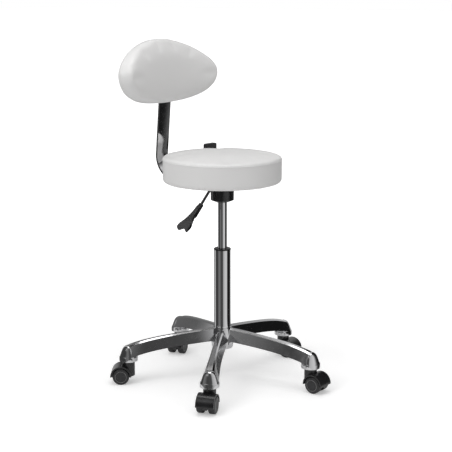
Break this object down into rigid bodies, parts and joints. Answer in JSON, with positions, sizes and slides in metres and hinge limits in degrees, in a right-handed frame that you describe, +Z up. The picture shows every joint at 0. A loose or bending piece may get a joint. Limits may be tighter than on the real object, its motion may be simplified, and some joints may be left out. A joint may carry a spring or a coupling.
{
  "type": "stool",
  "caption": "Round padded salon stool with a low curved backrest on a flat steel bar, a gas lift column and a five-arm polished base on twin-wheel casters",
  "frame": {"origin": "Floor level on the axis of the column.", "axes": "+Z up; the sitter faces -Y, so the backrest is at +Y and the height lever at -X."},
  "size_m": [0.6201, 0.6215, 1.0068],
  "materials": {
    "white_vinyl": "satin",
    "foam": "matte",
    "plywood": "matte",
    "dust_cloth": "matte",
    "polished_alloy": "polished",
    "chrome": "polished",
    "black_plastic": "gloss",
    "black_steel": "satin",
    "zinc_steel": "satin",
    "rubber": "matte",
    "caster_plastic": "gloss",
    "wheel_plastic": "satin"
  },
  "bodies": {
    "base": {"star_base": "polished_alloy", "outer_column": "chrome", "guide_bush": "black_plastic", "bearing_lower_race": "zinc_steel", "bearing_balls": "zinc_steel", "caster_stems": "zinc_steel"},
    "rod": {"piston_rod": "zinc_steel", "piston": "zinc_steel", "bearing_upper_race": "zinc_steel", "rubber_buffer": "rubber", "rod_clip": "zinc_steel"},
    "seat": {"gas_cylinder": "chrome", "rod_guide": "zinc_steel", "valve_body": "zinc_steel", "mounting_plate": "black_steel", "lever_pivot_pin": "zinc_steel", "mechanism_shroud": "black_plastic", "seat_board": "plywood", "seat_foam": "foam", "seat_cover": "white_vinyl", "underside_cloth": "dust_cloth", "plate_screws": "zinc_steel", "tilt_bracket": "black_steel", "bracket_screws": "zinc_steel"},
    "release_pin": {"release_pin": "zinc_steel"},
    "gas_lever": {"lever_rod": "black_steel", "lever_grip": "black_plastic"},
    "tilt_lever": {"tilt_lock_rod": "black_steel", "tilt_lock_grip": "black_plastic", "tilt_lock_nut": "zinc_steel"},
    "back_bar": {"back_bar": "chrome"},
    "backrest": {"backrest_board": "plywood", "backrest_foam": "foam", "backrest_rear_foam": "foam", "backrest_cover": "white_vinyl", "backrest_rear_cover": "white_vinyl", "bar_sleeve": "zinc_steel"},
    "height_knob": {"height_knob": "black_plastic", "knob_stud": "zinc_steel"},
    "caster_1": {"caster_1_fork": "caster_plastic", "caster_1_axle": "zinc_steel"},
    "caster_1_left": {"caster_1_wheel_left": "wheel_plastic"},
    "caster_1_right": {"caster_1_wheel_right": "wheel_plastic"},
    "caster_2": {"caster_2_fork": "caster_plastic", "caster_2_axle": "zinc_steel"},
    "caster_2_left": {"caster_2_wheel_left": "wheel_plastic"},
    "caster_2_right": {"caster_2_wheel_right": "wheel_plastic"},
    "caster_3": {"caster_3_fork": "caster_plastic", "caster_3_axle": "zinc_steel"},
    "caster_3_left": {"caster_3_wheel_left": "wheel_plastic"},
    "caster_3_right": {"caster_3_wheel_right": "wheel_plastic"},
    "caster_4": {"caster_4_fork": "caster_plastic", "caster_4_axle": "zinc_steel"},
    "caster_4_left": {"caster_4_wheel_left": "wheel_plastic"},
    "caster_4_right": {"caster_4_wheel_right": "wheel_plastic"},
    "caster_5": {"caster_5_fork": "caster_plastic", "caster_5_axle": "zinc_steel"},
    "caster_5_left": {"caster_5_wheel_left": "wheel_plastic"},
    "caster_5_right": {"caster_5_wheel_right": "wheel_plastic"}
  },
  "joints": [
    {"name": "seat_swivel", "type": "hinge", "parent": "base", "child": "rod", "pos_m": [0, 0, 0.104], "axis": [0, 0, 1], "continuous": true},
    {"name": "gas_lift", "type": "slide", "parent": "rod", "child": "seat", "axis": [0, 0, 1], "range_m": [-0.13, 0]},
    {"name": "gas_lever_tilt", "type": "hinge", "parent": "seat", "child": "gas_lever", "pos_m": [-0.014, 0, 0.59], "axis": [0, 1, 0], "range_deg": [0, 6], "stiffness_Nm_per_rad": 3, "springref_deg": -6.88},
    {"name": "release_pin_press", "type": "slide", "parent": "seat", "child": "release_pin", "axis": [0, 0, 1], "range_m": [-0.0017, 0]},
    {"name": "tilt_lever_turn", "type": "hinge", "parent": "seat", "child": "tilt_lever", "pos_m": [0, 0.13, 0.5865], "axis": [-1, 0, 0], "range_deg": [0, 40]},
    {"name": "back_tilt", "type": "hinge", "parent": "seat", "child": "back_bar", "pos_m": [0, 0.13, 0.5865], "axis": [-1, 0, 0], "range_deg": [0, 15]},
    {"name": "backrest_height", "type": "slide", "parent": "back_bar", "child": "backrest", "axis": [0, 0.1392, 0.9903], "range_m": [0, 0.04]},
    {"name": "knob_turn", "type": "hinge", "parent": "backrest", "child": "height_knob", "pos_m": [0, 0.25453, 0.85415], "axis": [0, 0.9903, -0.1392], "continuous": true},
    {"name": "caster_1_swivel", "type": "hinge", "parent": "base", "child": "caster_1", "pos_m": [0.28383, -0.02583, 0.056], "axis": [0, 0, 1], "continuous": true},
    {"name": "caster_1_roll_left", "type": "hinge", "parent": "caster_1", "child": "caster_1_left", "pos_m": [0.28613, -0.04771, 0.025], "axis": [0.9945, 0.1045, 0], "continuous": true},
    {"name": "caster_1_roll_right", "type": "hinge", "parent": "caster_1", "child": "caster_1_right", "pos_m": [0.28613, -0.04771, 0.025], "axis": [0.9945, 0.1045, 0], "continuous": true},
    {"name": "caster_2_swivel", "type": "hinge", "parent": "base", "child": "caster_2", "pos_m": [0.11227, 0.26195, 0.056], "axis": [0, 0, 1], "continuous": true},
    {"name": "caster_2_roll_left", "type": "hinge", "parent": "caster_2", "child": "caster_2_left", "pos_m": [0.09135, 0.25516, 0.025], "axis": [0.309, -0.9511, 0], "continuous": true},
    {"name": "caster_2_roll_right", "type": "hinge", "parent": "caster_2", "child": "caster_2_right", "pos_m": [0.09135, 0.25516, 0.025], "axis": [0.309, -0.9511, 0], "continuous": true},
    {"name": "caster_3_swivel", "type": "hinge", "parent": "base", "child": "caster_3", "pos_m": [-0.21444, 0.18773, 0.056], "axis": [0, 0, 1], "continuous": true},
    {"name": "caster_3_roll_left", "type": "hinge", "parent": "caster_3", "child": "caster_3_left", "pos_m": [-0.22798, 0.20506, 0.025], "axis": [-0.788, -0.6157, 0], "continuous": true},
    {"name": "caster_3_roll_right", "type": "hinge", "parent": "caster_3", "child": "caster_3_right", "pos_m": [-0.22798, 0.20506, 0.025], "axis": [-0.788, -0.6157, 0], "continuous": true},
    {"name": "caster_4_swivel", "type": "hinge", "parent": "base", "child": "caster_4", "pos_m": [-0.2448, -0.14593, 0.056], "axis": [0, 0, 1], "continuous": true},
    {"name": "caster_4_roll_left", "type": "hinge", "parent": "caster_4", "child": "caster_4_left", "pos_m": [-0.2652, -0.15417, 0.025], "axis": [0.3746, -0.9272, 0], "continuous": true},
    {"name": "caster_4_roll_right", "type": "hinge", "parent": "caster_4", "child": "caster_4_right", "pos_m": [-0.2652, -0.15417, 0.025], "axis": [0.3746, -0.9272, 0], "continuous": true},
    {"name": "caster_5_swivel", "type": "hinge", "parent": "base", "child": "caster_5", "pos_m": [0.06314, -0.27792, 0.056], "axis": [0, 0, 1], "continuous": true},
    {"name": "caster_5_roll_left", "type": "hinge", "parent": "caster_5", "child": "caster_5_left", "pos_m": [0.06314, -0.29992, 0.025], "axis": [1, 0, 0], "continuous": true},
    {"name": "caster_5_roll_right", "type": "hinge", "parent": "caster_5", "child": "caster_5_right", "pos_m": [0.06314, -0.29992, 0.025], "axis": [1, 0, 0], "continuous": true}
  ],
  "couplings": [
    {"joint": "release_pin_press", "follows": "gas_lever_tilt", "m_per_rad": -0.01528}
  ]
}
